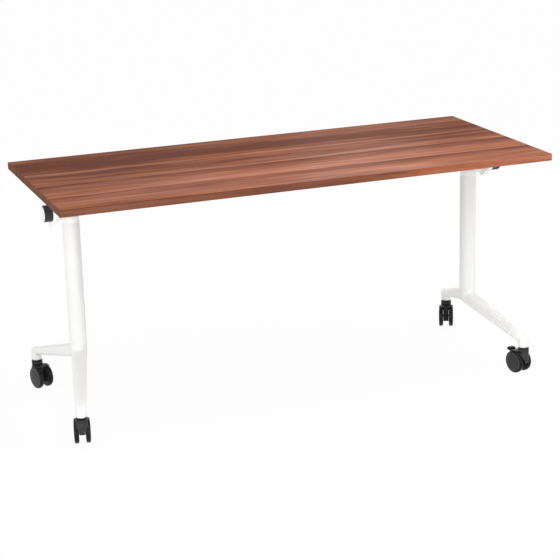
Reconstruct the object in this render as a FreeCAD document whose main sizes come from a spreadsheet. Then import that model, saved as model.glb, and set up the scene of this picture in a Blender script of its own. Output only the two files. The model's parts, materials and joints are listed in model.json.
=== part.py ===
import FreeCAD, Part
import math
import os
import Sketcher

# Tilting-top table on four twin-wheel castors.
# Millimetres, +X along the top to the right, +Y to the back, +Z up, floor at Z = 0.

doc = FreeCAD.newDocument("tilting_table")
sheet = doc.addObject("Spreadsheet::Sheet", "Sizes")


class Dim:
    """A size that carries its sheet formula and its present value together."""

    def __init__(self, text, value):
        self.text = text
        self.value = value

    def __add__(self, other):
        return Dim("(%s + %s)" % (self.text, text_of(other)), self.value + value_of(other))

    def __sub__(self, other):
        return Dim("(%s - %s)" % (self.text, text_of(other)), self.value - value_of(other))

    def __mul__(self, other):
        return Dim("(%s * %s)" % (self.text, text_of(other)), self.value * value_of(other))

    def __truediv__(self, other):
        return Dim("(%s / %s)" % (self.text, text_of(other)), self.value / value_of(other))

    def __neg__(self):
        return self * -1


def text_of(item):
    return item.text if isinstance(item, Dim) else "(%r)" % float(item)


def value_of(item):
    return item.value if isinstance(item, Dim) else float(item)


def cosine(angle):
    return Dim("cos(%s)" % angle.text, math.cos(math.radians(angle.value)))


def sine(angle):
    return Dim("sin(%s)" % angle.text, math.sin(math.radians(angle.value)))


def size(alias, value, meaning):
    """Adds one driving dimension to the sheet and returns it."""
    size.row += 1
    cell = "B%d" % size.row
    sheet.set("A%d" % size.row, meaning)
    sheet.set(cell, str(value))
    sheet.setAlias(cell, alias)
    return Dim("Sizes." + alias, value)


size.row = 0

# The top.
top_length = size("top_length", 1600, "length of the top")
top_depth = size("top_depth", 700, "depth of the top")
top_thick = size("top_thick", 22, "thickness of the top")
top_height = size("top_height", 760, "floor to the face of the top")
band_thick = size("band_thick", 2, "thickness of an edge band")
band_round = size("band_round", 0.9, "rounding of an edge band")

# Columns, heads and beam.
column_x = size("column_x", 686, "middle of the table to a column")
column_back = size("column_back", 7.5, "middle of the top back to a column")
column_dia = size("column_dia", 54, "column diameter")
column_wall = size("column_wall", 2.5, "column wall")
column_low = size("column_low", 232, "floor to the foot of a column")
column_high = size("column_high", 630, "floor to the end of a column tube")
plug_gap = size("plug_gap", 0.1, "gap round a plug in a tube")
plug_length = size("plug_length", 40, "length of a plug in a tube")
flange_thick = size("flange_thick", 25, "height of the head flange")
flange_round = size("flange_round", 10, "rounding of the head flange")
post_wide = size("post_wide", 30, "head post along the table")
post_deep = size("post_deep", 40, "head post front to back")
post_high = size("post_high", 704, "floor to the top of a head post")
post_round = size("post_round", 7, "rounding of the head post corners")
tilt_high = size("tilt_high", 646, "floor to the tilt axis")
pivot_dia = size("pivot_dia", 22, "pivot boss diameter")
pivot_reach = size("pivot_reach", 50, "column middle to the end of the pivot boss")
pin_dia = size("pin_dia", 12, "tilt pin and knob spindle diameter")
pin_depth = size("pin_depth", 34, "depth of the tilt pin in the head")
pin_head_dia = size("pin_head_dia", 20, "tilt pin head and spindle flange diameter")
pin_head_thick = size("pin_head_thick", 4, "tilt pin head and spindle flange thickness")
fit_gap = size("fit_gap", 0.05, "radial gap of a running fit")
face_gap = size("face_gap", 0.5, "gap between two faces that turn against each other")
beam_side = size("beam_side", 40, "side of the square cross beam")
beam_wall = size("beam_wall", 2.2, "wall of the cross beam")
beam_round = size("beam_round", 4, "outer corner radius of the cross beam")
beam_high = size("beam_high", 678, "floor to the middle of the cross beam")
tenon_length = size("tenon_length", 40, "length of the tenon in the beam")

# Tilt brackets.
arm_thick = size("arm_thick", 14, "thickness of a bracket arm")
arm_round = size("arm_round", 24, "radius of the arm end round the tilt pin")
plate_thick = size("plate_thick", 8, "thickness of the bracket plate")
plate_in = size("plate_in", 26, "bracket plate inward from the arm")
plate_out = size("plate_out", 34, "bracket plate outward from the arm")
plate_front = size("plate_front", 90, "bracket plate forward of the tilt axis")
plate_back = size("plate_back", 90, "bracket plate back from the tilt axis")
plate_round = size("plate_round", 10, "corner radius of the bracket plate")
arm_root = size("arm_root", 62, "half length of the arm where it meets the plate")
arm_waist_high = size("arm_waist_high", 700, "floor to the waist of the arm")
arm_waist = size("arm_waist", 34, "half length of the arm at its waist")
boss_dia = size("boss_dia", 50, "spindle boss diameter")
boss_flat = size("boss_flat", 17.5, "spindle axis to the corners of the arm inside the boss")
arm_chin = size("arm_chin", 10, "tilt axis forward to the lowest corner of the arm")
arm_chin_drop = size("arm_chin_drop", 16, "tilt axis down to the lowest corner of the arm")
screw_dia = size("screw_dia", 4.6, "bracket screw diameter")
screw_head_dia = size("screw_head_dia", 9, "bracket screw head diameter")
screw_head_thick = size("screw_head_thick", 3, "bracket screw head thickness")
screw_bite = size("screw_bite", 14, "depth of a bracket screw in the top")
screw_gap = size("screw_gap", 0.1, "gap round a bracket screw")
screw_side = size("screw_side", 12, "bracket screw from the plate side")
screw_end = size("screw_end", 14, "bracket screw from the plate end")

# Release knobs.
knob_front = size("knob_front", 33, "column middle forward to the knob axis")
knob_high = size("knob_high", 672, "floor to the knob axis")
knob_start = size("knob_start", 752, "middle of the table to the inner end of a knob")
knob_dia = size("knob_dia", 52, "knob grip diameter")
knob_length = size("knob_length", 26, "knob grip length")
knob_round = size("knob_round", 1.2, "rounding of the knob grip")
cap_dia = size("cap_dia", 48.6, "knob cap diameter")
cap_seat = size("cap_seat", 3, "depth of the cap seat in the grip")
cap_thick = size("cap_thick", 6, "knob cap thickness")
cap_round = size("cap_round", 2, "rounding of the knob cap")
dot_dia = size("dot_dia", 4, "diameter of the mark in the knob cap")
dot_depth = size("dot_depth", 1.2, "depth of the mark in the knob cap")
dot_off = size("dot_off", 7, "mark forward of and below the cap middle")
grip_hold = size("grip_hold", 20, "length of the spindle in the grip")

# Feet.
front_out = size("front_out", 70, "column outward to the front castor")
front_reach = size("front_reach", 273, "column forward to the front castor")
back_out = size("back_out", 72, "column outward to the back castor")
back_reach = size("back_reach", 307, "column back to the back castor")
root_wide = size("root_wide", 52, "width of a foot arm at the column")
front_root_tall = size("front_root_tall", 44, "height of a front arm at the column")
back_root_tall = size("back_root_tall", 48, "height of a back arm at the column")
front_root_high = size("front_root_high", 203, "floor to the middle of a front arm at the column")
back_root_high = size("back_root_high", 212, "floor to the middle of a back arm at the column")
root_round = size("root_round", 16, "corner radius of a foot arm at the column")
tip_wide = size("tip_wide", 37, "width of a foot arm at its end")
front_tip_tall = size("front_tip_tall", 24, "height of a front arm at its end")
front_tip_high = size("front_tip_high", 116, "floor to the middle of a front arm at its end")
back_tip_tall = size("back_tip_tall", 26, "height of a back arm at its end")
back_tip_high = size("back_tip_high", 122, "floor to the middle of a back arm at its end")
tip_round = size("tip_round", 11.5, "corner radius of a foot arm at its end")
end_proud = size("end_proud", 0.3, "how far the round end of an arm stands proud of it")
hub_low = size("hub_low", 184, "floor to the underside of the foot hub")
hub_taper = size("hub_taper", 14, "height of the taper under the foot hub")
hub_base = size("hub_base", 38, "diameter of the hub at its underside")
socket_low = size("socket_low", 90, "floor to the underside of a castor socket")
socket_dia = size("socket_dia", 36, "castor socket diameter")

# Castors.
stem_dia = size("stem_dia", 11, "castor stem diameter")
stem_up = size("stem_up", 34, "stem length in the foot")
stem_down = size("stem_down", 26, "stem length in the castor")
swivel_gap = size("swivel_gap", 1, "gap between a foot and a castor neck")
wheel_dia = size("wheel_dia", 75, "wheel diameter")
wheel_in = size("wheel_in", 10.2, "castor middle to the inner face of a wheel")
wheel_out = size("wheel_out", 25.2, "castor middle to the outer rim of a wheel")
wheel_crown = size("wheel_crown", 0.7, "dome of the wheel disc")
tread_bevel = size("tread_bevel", 4, "bevel of the tread edges")
rim_line = size("rim_line", 28.5, "radius of the rim line in a wheel")
rim_line_deep = size("rim_line_deep", 0.9, "depth of the rim line")
rim_line_wide = size("rim_line_wide", 1.6, "width of the rim line")
trail = size("trail", 23, "swivel axis back to the axle")
axle_dia = size("axle_dia", 8, "axle diameter")
axle_half = size("axle_half", 23, "half length of the axle")
hood_radius = size("hood_radius", 40.5, "outer radius of the hood")
hood_half = size("hood_half", 25.7, "half width of the hood")
hood_round = size("hood_round", 5, "rounding of the hood shoulders")
hood_back = size("hood_back", 66, "angle of the hood's back end above level")
hood_front = size("hood_front", 178, "angle of the hood's front end")
web_half = size("web_half", 9.6, "half thickness of the web between the wheels")
wheel_clear = size("wheel_clear", 1.5, "gap between wheel and hood")
web_low_front = size("web_low_front", 8, "axle forward to the lower web corner")
web_low_drop = size("web_low_drop", 9.5, "axle down to the lower web corner")
web_low_back = size("web_low_back", 10, "axle back to the other lower web corner")
web_back_drop = size("web_back_drop", 17.5, "axle down to the other lower web corner")
neck_dia = size("neck_dia", 36, "castor neck diameter")
neck_low = size("neck_low", 42, "floor to the root of the castor neck")
neck_groove_low = size("neck_groove_low", 78.6, "floor to the lower groove in the castor neck")
neck_groove_high = size("neck_groove_high", 85.6, "floor to the upper groove in the castor neck")
neck_groove = size("neck_groove", 1.5, "width and depth of a groove in the castor neck")
shield_plane = size("shield_plane", 2, "swivel axis forward to the shield cut")
shield_high = size("shield_high", 73, "floor to the top of the shield taper")
shield_low = size("shield_low", 38, "floor to the lower end of the shield taper")
shield_end = size("shield_end", 18, "floor to the end of the shield")
shield_wide = size("shield_wide", 21, "half width of the shield at its top")
shield_tip = size("shield_tip", 9.6, "half width of the shield below its taper")
angle_fl = size("angle_fl", 77, "swivel angle of the front left castor")
angle_fr = size("angle_fr", 105, "swivel angle of the front right castor")
angle_bl = size("angle_bl", -73, "swivel angle of the back left castor")
angle_br = size("angle_br", -116.5, "swivel angle of the back right castor")

# Brake pedals.
pedal_x = size("pedal_x", 40, "swivel axis back to the pedal pin")
pedal_z = size("pedal_z", 56, "floor to the pedal pin")
pedal_pin_dia = size("pedal_pin_dia", 4, "pedal pin diameter")
pedal_hub = size("pedal_hub", 5, "radius of the pedal eye")
pedal_stem = size("pedal_stem", 7.6, "thickness of the pedal stem")
pedal_slot = size("pedal_slot", 8.6, "width of the pedal slot in the hood")
pedal_wide = size("pedal_wide", 18.6, "width of the pedal tread")
pedal_start = size("pedal_start", 45.5, "swivel axis back to the start of the tread")
pedal_end = size("pedal_end", 70.5, "swivel axis back to the end of the tread")
pedal_low = size("pedal_low", 62, "floor to the underside of the tread at its start")
pedal_high = size("pedal_high", 78, "floor to the top of the tread")
pedal_drop = size("pedal_drop", 8, "start of the tread's slope before its end")
pedal_end_low = size("pedal_end_low", 67.5, "floor to the underside of the tread at its end")
pedal_end_high = size("pedal_end_high", 73.5, "floor to the top of the tread at its end")
pedal_root_front = size("pedal_root_front", 3, "pedal pin forward to the front of the stem's root")
pedal_root_high = size("pedal_root_high", 3, "pedal pin up to the front of the stem's root")
pedal_root_back = size("pedal_root_back", 4, "pedal pin back to the back of the stem's root")
pedal_root_drop = size("pedal_root_drop", 1, "pedal pin down to the back of the stem's root")
pedal_stem_long = size("pedal_stem_long", 10, "length of the stem under the tread")
lug_front = size("lug_front", 28, "swivel axis back to the root of the pedal lug")
lug_back = size("lug_back", 47, "swivel axis back to the end of the pedal lug")
lug_low = size("lug_low", 44, "floor to the underside of the pedal lug")
lug_high = size("lug_high", 61, "floor to the top of the pedal lug")

doc.recompute()

UP = FreeCAD.Vector(0, 0, 1)
ORIGIN_POINT = -1
H_AXIS = -1
V_AXIS = -2
START = 1
END = 2
CENTRE = 3
TOUCHING = 0.01
parts = []


def bind(item, name, amount):
    """Ties a property to the sheet."""
    item.setExpression(name, text_of(amount))


def new_body(label):
    body = doc.addObject("PartDesign::Body", label)
    body.Label = label
    parts.append(body)
    return body


def place(item, x=0, y=0, z=0, turn=None):
    """Puts a finished piece where it belongs, turned about +Z."""
    if turn is not None:
        item.Placement = FreeCAD.Placement(FreeCAD.Vector(), FreeCAD.Rotation(UP, turn.value))
        bind(item, "Placement.Rotation.Angle", turn)
    for name, amount in (("x", x), ("y", y), ("z", z)):
        bind(item, "Placement.Base." + name, amount)


def origin_part(body, role):
    return [item for item in body.Origin.OriginFeatures if item.Role == role][0]


def sketch_on(body, plane, x=0, y=0, z=0):
    """A sketch on one of the body's own planes, moved in that plane's axes."""
    sketch = body.newObject("Sketcher::SketchObject", body.Name + "_sketch")
    sketch.AttachmentSupport = [(origin_part(body, plane), "")]
    sketch.MapMode = "FlatFace"
    for name, amount in (("x", x), ("y", y), ("z", z)):
        if isinstance(amount, Dim):
            bind(sketch, "AttachmentOffset.Base." + name, amount)
    return sketch


def drive(sketch, kind, *where_and_amount):
    """Adds a driving dimension to a sketch."""
    where = where_and_amount[:-1]
    amount = where_and_amount[-1]
    index = sketch.addConstraint(Sketcher.Constraint(kind, *where, value_of(amount)))
    if isinstance(amount, Dim):
        sketch.setExpression("Constraints[%d]" % index, amount.text)


def hold(sketch, curve, end, x, y):
    """Fixes one point of a sketch from the sketch's origin."""
    for kind, amount, axis in (("DistanceX", x, V_AXIS), ("DistanceY", y, H_AXIS)):
        if isinstance(amount, Dim):
            drive(sketch, kind, ORIGIN_POINT, START, curve, end, amount)
        else:
            sketch.addConstraint(Sketcher.Constraint("PointOnObject", curve, end, axis))


def join(sketch, first, first_end, second, second_end):
    sketch.addConstraint(Sketcher.Constraint("Coincident", first, first_end, second, second_end))


def at(x, y):
    return FreeCAD.Vector(value_of(x), value_of(y), 0)


def polygon(sketch, corners):
    """A closed outline of straight lines, each corner fixed from the origin."""
    count = len(corners)
    lines = []
    for index, corner in enumerate(corners):
        following = corners[(index + 1) % count]
        lines.append(sketch.addGeometry(Part.LineSegment(at(*corner), at(*following))))
    for index, corner in enumerate(corners):
        join(sketch, lines[index - 1], END, lines[index], START)
        hold(sketch, lines[index], START, *corner)


def circle(sketch, x, y, diameter):
    ring = Part.Circle(at(x, y), UP, value_of(diameter) / 2)
    index = sketch.addGeometry(ring)
    hold(sketch, index, CENTRE, x, y)
    drive(sketch, "Diameter", index, diameter)


def rounded_box(sketch, wide, tall, radius):
    """A rectangle with round corners about the sketch's origin."""
    half_w = value_of(wide) / 2
    half_t = value_of(tall) / 2
    r = value_of(radius)
    ends = [
        ((-half_w + r, -half_t), (half_w - r, -half_t)),
        ((half_w, -half_t + r), (half_w, half_t - r)),
        ((half_w - r, half_t), (-half_w + r, half_t)),
        ((-half_w, half_t - r), (-half_w, -half_t + r)),
    ]
    middles = [
        (half_w - r, -half_t + r),
        (half_w - r, half_t - r),
        (-half_w + r, half_t - r),
        (-half_w + r, -half_t + r),
    ]
    lines = [sketch.addGeometry(Part.LineSegment(at(*a), at(*b))) for a, b in ends]
    arcs = []
    for index, middle in enumerate(middles):
        first = math.radians(-90 + 90 * index)
        arc = Part.ArcOfCircle(Part.Circle(at(*middle), UP, r), first, first + math.pi / 2)
        arcs.append(sketch.addGeometry(arc))
    for index in range(4):
        sketch.addConstraint(Sketcher.Constraint("Tangent", lines[index], END, arcs[index], START))
        sketch.addConstraint(Sketcher.Constraint("Tangent", arcs[index], END, lines[(index + 1) % 4], START))
    for index in (0, 2):
        sketch.addConstraint(Sketcher.Constraint("Horizontal", lines[index]))
        sketch.addConstraint(Sketcher.Constraint("Vertical", lines[index + 1]))
    for index in (1, 2, 3):
        sketch.addConstraint(Sketcher.Constraint("Equal", arcs[0], arcs[index]))
    drive(sketch, "Radius", arcs[0], radius)
    drive(sketch, "DistanceX", ORIGIN_POINT, START, lines[1], START, wide / 2)
    drive(sketch, "DistanceX", ORIGIN_POINT, START, lines[3], START, -(wide / 2))
    drive(sketch, "DistanceY", ORIGIN_POINT, START, lines[0], START, -(tall / 2))
    drive(sketch, "DistanceY", ORIGIN_POINT, START, lines[2], START, tall / 2)


def half_rounded_box(sketch, wide, tall, radius):
    """The right half of a round-cornered rectangle, closed along the sketch's upright axis."""
    half_w = value_of(wide) / 2
    half_t = value_of(tall) / 2
    r = value_of(radius)
    ends = [
        ((0, half_t), (0, -half_t)),
        ((0, -half_t), (half_w - r, -half_t)),
        ((half_w, -half_t + r), (half_w, half_t - r)),
        ((half_w - r, half_t), (0, half_t)),
    ]
    axis, low, side, high = [sketch.addGeometry(Part.LineSegment(at(*a), at(*b))) for a, b in ends]
    corners = []
    for y, first in ((-half_t + r, -math.pi / 2), (half_t - r, 0)):
        arc = Part.ArcOfCircle(Part.Circle(at(half_w - r, y), UP, r), first, first + math.pi / 2)
        corners.append(sketch.addGeometry(arc))
    join(sketch, axis, END, low, START)
    join(sketch, high, END, axis, START)
    chain = [low, corners[0], side, corners[1], high]
    for first, second in zip(chain, chain[1:]):
        sketch.addConstraint(Sketcher.Constraint("Tangent", first, END, second, START))
    for line in (low, high):
        sketch.addConstraint(Sketcher.Constraint("Horizontal", line))
    sketch.addConstraint(Sketcher.Constraint("Vertical", side))
    sketch.addConstraint(Sketcher.Constraint("Equal", corners[0], corners[1]))
    drive(sketch, "Radius", corners[0], radius)
    hold(sketch, axis, START, 0, tall / 2)
    hold(sketch, axis, END, 0, -(tall / 2))
    drive(sketch, "DistanceX", ORIGIN_POINT, START, side, START, wide / 2)


def pad(body, sketch, length, both=False, backward=False):
    feature = body.newObject("PartDesign::Pad", body.Name + "_pad")
    feature.Profile = sketch
    feature.SideType = "Symmetric" if both else "One side"
    feature.Reversed = backward
    bind(feature, "Length", length)
    return feature


def pocket(body, sketch, length=None, both=False, backward=False):
    """Cuts a sketch into the body, all the way through when no length is given."""
    feature = body.newObject("PartDesign::Pocket", body.Name + "_pocket")
    feature.Profile = sketch
    feature.SideType = "Symmetric" if both else "One side"
    feature.Reversed = backward
    if length is None:
        feature.Type = "ThroughAll"
    else:
        bind(feature, "Length", length)
    return feature


def spin(body, kind, sketch, axis=None):
    """Turns a sketch a full turn about one axis of the body, or about its own upright axis."""
    feature = body.newObject("PartDesign::" + kind, body.Name + "_spin")
    feature.Profile = sketch
    feature.ReferenceAxis = (origin_part(body, axis), [""]) if axis else (sketch, ["V_Axis"])
    feature.Angle = 360
    return feature


def round_edges(body, base, radius, wanted):
    """Rounds those edges of a feature that the test accepts."""
    doc.recompute()
    edges = base.Shape.Edges
    names = ["Edge%d" % (number + 1) for number, edge in enumerate(edges) if wanted(edge)]
    feature = body.newObject("PartDesign::Fillet", body.Name + "_round")
    feature.Base = (base, names)
    bind(feature, "Radius", radius)
    return feature


def is_ring(edge, height, axis="z"):
    """True for an edge that lies flat at one height along an axis."""
    box = edge.BoundBox
    low = getattr(box, axis.upper() + "Min")
    high = getattr(box, axis.upper() + "Max")
    return abs(low - height) < TOUCHING and abs(high - height) < TOUCHING


def is_long_ring(edge, height, axis):
    """True for such an edge that runs along the length of a strip, not across its thickness."""
    return is_ring(edge, height, axis) and edge.Length > top_thick.value * 2


def box_body(label, x_low, x_high, y_low, y_high, z_low, tall):
    """A plain board or strip, padded up from a rectangle."""
    body = new_body(label)
    sketch = sketch_on(body, "XY_Plane", z=z_low)
    polygon(sketch, [(x_low, y_low), (x_high, y_low), (x_high, y_high), (x_low, y_high)])
    return body, pad(body, sketch, tall)


SIDES = {"left": -1, "right": 1}
column_y = column_back
board_low = top_height - top_thick
board_x = top_length / 2 - band_thick
board_y = top_depth / 2 - band_thick
arm_start = column_x + pivot_reach + face_gap
plate_low = board_low - plate_thick
screw_x = (arm_start - plate_in + screw_side, arm_start + plate_out - screw_side)
screw_y = (column_y - plate_front + screw_end, column_y + plate_back - screw_end)
screw_spots = [(x * side, y) for side in SIDES.values() for x in screw_x for y in screw_y]

# The board, with blind holes under it for the bracket screws.
board_front = -board_y
board_back = board_y
board = box_body("top_board", -board_x, board_x, board_front, board_back, board_low, top_thick)[0]
pilots = sketch_on(board, "XY_Plane", z=board_low)
for x, y in screw_spots:
    circle(pilots, x, y, screw_dia + screw_gap * 2)
pocket(board, pilots, screw_bite + screw_gap, backward=True)

# Edge bands: the long ones run the full length and cover the ends of the short ones.
half_length = top_length / 2
half_depth = top_depth / 2
bands = {
    "front": (-half_length, half_length, -half_depth, board_front),
    "back": (-half_length, half_length, board_back, half_depth),
    "left": (-half_length, -board_x, board_front, board_back),
    "right": (board_x, half_length, board_front, board_back),
}
for name, limits in bands.items():
    band, band_pad = box_body("edge_band_" + name, *limits, board_low, top_thick)
    axis = "y" if name in ("front", "back") else "x"
    outer = {"front": limits[2], "back": limits[3], "left": limits[0], "right": limits[1]}[name].value
    round_edges(band, band_pad, band_round, lambda edge: is_long_ring(edge, outer, axis))

# The cross beam, a square tube between the two heads.
beam = new_body("cross_beam")
beam_half = column_x - post_wide / 2
beam_outer = sketch_on(beam, "YZ_Plane", x=column_y, y=beam_high)
rounded_box(beam_outer, beam_side, beam_side, beam_round)
pad(beam, beam_outer, beam_half * 2, both=True)
beam_inside = beam_side - beam_wall * 2
beam_inner = sketch_on(beam, "YZ_Plane", x=column_y, y=beam_high)
rounded_box(beam_inner, beam_inside, beam_inside, beam_round - beam_wall)
pocket(beam, beam_inner, beam_half * 2 + beam_side, both=True)


def build_column(name, side):
    """A plain round tube that stands between a foot and a head."""
    body = new_body("column_" + name)
    ring = sketch_on(body, "XY_Plane", z=column_low)
    circle(ring, 0, 0, column_dia)
    circle(ring, 0, 0, column_dia - column_wall * 2)
    pad(body, ring, column_high - column_low)
    place(body, column_x * side, column_y)


def build_head(name, side):
    """The casting on a column: plug, round flange, post, pivot boss and beam tenon."""
    body = new_body("column_head_" + name)
    flange = sketch_on(body, "XY_Plane", z=column_high)
    circle(flange, 0, 0, column_dia)
    flange_pad = pad(body, flange, flange_thick)
    flange_top = column_high + flange_thick
    round_edges(body, flange_pad, flange_round, lambda edge: is_ring(edge, flange_top.value))
    plug = sketch_on(body, "XY_Plane", z=column_high)
    circle(plug, 0, 0, column_dia - (column_wall + plug_gap) * 2)
    pad(body, plug, plug_length, backward=True)
    post = sketch_on(body, "XY_Plane", z=column_high)
    rounded_box(post, post_wide, post_deep, post_round)
    pad(body, post, post_high - column_high)
    boss = sketch_on(body, "YZ_Plane")
    circle(boss, 0, tilt_high, pivot_dia)
    pad(body, boss, pivot_reach, backward=side < 0)
    tenon = sketch_on(body, "YZ_Plane", y=beam_high)
    tenon_side = beam_inside - plug_gap * 2
    rounded_box(tenon, tenon_side, tenon_side, beam_round - beam_wall)
    pad(body, tenon, post_wide / 2 + tenon_length, backward=side > 0)
    bore = sketch_on(body, "YZ_Plane", z=(pivot_reach - pin_depth) * side)
    circle(bore, 0, tilt_high, pin_dia + fit_gap * 2)
    pocket(body, bore, pin_depth + face_gap, backward=side > 0)
    place(body, column_x * side, column_y)


def build_tilt_pin(name, side):
    """The fixed pin that a bracket turns on, with a head outside the bracket."""
    body = new_body("tilt_pin_" + name)
    shank = sketch_on(body, "YZ_Plane")
    circle(shank, 0, 0, pin_dia)
    shank_length = pin_depth + arm_thick + face_gap * 2
    pad(body, shank, shank_length, backward=side < 0)
    head = sketch_on(body, "YZ_Plane", z=shank_length * side)
    circle(head, 0, 0, pin_head_dia)
    pad(body, head, pin_head_thick, backward=side < 0)
    place(body, (column_x + pivot_reach - pin_depth) * side, column_y, tilt_high)


def build_bracket(name, side):
    """The casting under the top: plate, hanging arm and boss for the knob spindle."""
    body = new_body("tilt_bracket_" + name)
    plate_x = (plate_out - plate_in) / 2 * side
    plate_y = (plate_back - plate_front) / 2
    plate = sketch_on(body, "XY_Plane", x=plate_x, y=plate_y, z=plate_low)
    rounded_box(plate, plate_in + plate_out, plate_front + plate_back, plate_round)
    pad(body, plate, plate_thick)
    arm = sketch_on(body, "YZ_Plane")
    knob_reach = knob_front + boss_flat
    polygon(arm, [
        (-arm_root - knob_front, plate_low + face_gap),
        (-knob_reach, knob_high + boss_flat),
        (-knob_reach, knob_high - boss_flat),
        (-arm_chin, tilt_high - arm_chin_drop),
        (arm_round, tilt_high),
        (arm_waist, arm_waist_high),
        (arm_root, plate_low + face_gap),
    ])
    pad(body, arm, arm_thick, backward=side < 0)
    eye = sketch_on(body, "YZ_Plane")
    circle(eye, 0, tilt_high, arm_round * 2)
    pad(body, eye, arm_thick, backward=side < 0)
    boss = sketch_on(body, "YZ_Plane")
    circle(boss, -knob_front, knob_high, boss_dia)
    pad(body, boss, knob_start - arm_start - face_gap, backward=side < 0)
    bores = sketch_on(body, "YZ_Plane")
    circle(bores, 0, tilt_high, pin_dia + fit_gap * 2)
    circle(bores, -knob_front, knob_high, pin_dia + fit_gap * 2)
    pocket(body, bores, backward=side > 0)
    holes = sketch_on(body, "XY_Plane", z=plate_low)
    for x in screw_x:
        for y in screw_y:
            circle(holes, (x - arm_start) * side, y - column_y, screw_dia + screw_gap * 2)
    pocket(body, holes, plate_thick, backward=True)
    place(body, arm_start * side, column_y)


def build_knob(name, side):
    """A release knob: round grip, pale cap in its end, and the spindle through the bracket."""
    grip = new_body("knob_grip_" + name)
    disc = sketch_on(grip, "YZ_Plane")
    circle(disc, 0, 0, knob_dia)
    disc_pad = pad(grip, disc, knob_length, backward=side < 0)
    round_edges(grip, disc_pad, knob_round, lambda edge: edge.BoundBox.XLength < TOUCHING)
    seat = sketch_on(grip, "YZ_Plane", z=(knob_length - cap_seat) * side)
    circle(seat, 0, 0, cap_dia + plug_gap * 2)
    pocket(grip, seat, cap_seat + face_gap, backward=side > 0)
    bore = sketch_on(grip, "YZ_Plane")
    circle(bore, 0, 0, pin_dia + plug_gap)
    pocket(grip, bore, grip_hold + plug_gap, backward=side > 0)
    cap = new_body("knob_cap_" + name)
    face = sketch_on(cap, "YZ_Plane", z=(knob_length - cap_seat) * side)
    circle(face, 0, 0, cap_dia)
    face_pad = pad(cap, face, cap_thick, backward=side < 0)
    cap_end = (knob_length - cap_seat + cap_thick) * side
    round_edges(cap, face_pad, cap_round, lambda edge: is_ring(edge, cap_end.value, "x"))
    mark = sketch_on(cap, "YZ_Plane", z=cap_end)
    circle(mark, -dot_off, -dot_off, dot_dia)
    pocket(cap, mark, dot_depth, backward=side < 0)
    spindle = new_body("knob_spindle_" + name)
    flange_out = arm_start - face_gap - knob_start
    flange = sketch_on(spindle, "YZ_Plane", z=flange_out * side)
    circle(flange, 0, 0, pin_head_dia)
    pad(spindle, flange, pin_head_thick, backward=side > 0)
    rod = sketch_on(spindle, "YZ_Plane", z=flange_out * side)
    circle(rod, 0, 0, pin_dia)
    pad(spindle, rod, grip_hold - flange_out, backward=side < 0)
    for piece in (grip, cap, spindle):
        place(piece, knob_start * side, column_y - knob_front, knob_high)


def build_foot(name, side):
    """One casting: hub with a plug for the column, two tapering arms and a socket under each end."""
    body = new_body("foot_" + name)
    spots = [(front_out * side, -front_reach), (back_out * side, back_reach)]
    roots = [(front_root_high, front_root_tall), (back_root_high, back_root_tall)]
    tips = [(front_tip_high, front_tip_tall), (back_tip_high, back_tip_tall)]
    for (x, y), (root_high, root_tall), (high, tall) in zip(spots, roots, tips):
        root = sketch_on(body, "XZ_Plane", y=root_high)
        rounded_box(root, root_wide, root_tall, root_round)
        tip = sketch_on(body, "XZ_Plane", x=x, y=high, z=-y)
        rounded_box(tip, tip_wide, tall, tip_round)
        arm = body.newObject("PartDesign::AdditiveLoft", body.Name + "_arm")
        arm.Profile = root
        arm.Sections = [tip]
        arm.Ruled = True
        end = sketch_on(body, "XZ_Plane", x=x, y=high, z=-y)
        half_rounded_box(end, tip_wide + end_proud * 2, tall + end_proud * 2, tip_round)
        spin(body, "Revolution", end)
    hub = sketch_on(body, "XZ_Plane")
    polygon(hub, [
        (0, hub_low),
        (hub_base / 2, hub_low),
        (column_dia / 2, hub_low + hub_taper),
        (column_dia / 2, column_low),
        (0, column_low),
    ])
    spin(body, "Revolution", hub, "Z_Axis")
    plug = sketch_on(body, "XY_Plane", z=column_low)
    circle(plug, 0, 0, column_dia - (column_wall + plug_gap) * 2)
    pad(body, plug, plug_length)
    sockets = sketch_on(body, "XY_Plane", z=socket_low)
    bores = sketch_on(body, "XY_Plane", z=socket_low)
    for x, y in spots:
        circle(sockets, x, y, socket_dia)
        circle(bores, x, y, stem_dia + plug_gap * 2)
    pad(body, sockets, front_tip_high - socket_low)
    pocket(body, bores, stem_up + plug_gap, backward=True)
    place(body, column_x * side, column_y)


def is_shoulder(edge):
    """True for a round edge that lies in one upright plane, square to the wheel axle."""
    return edge.Curve.TypeId == "Part::GeomCircle" and edge.BoundBox.YLength < TOUCHING


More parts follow.
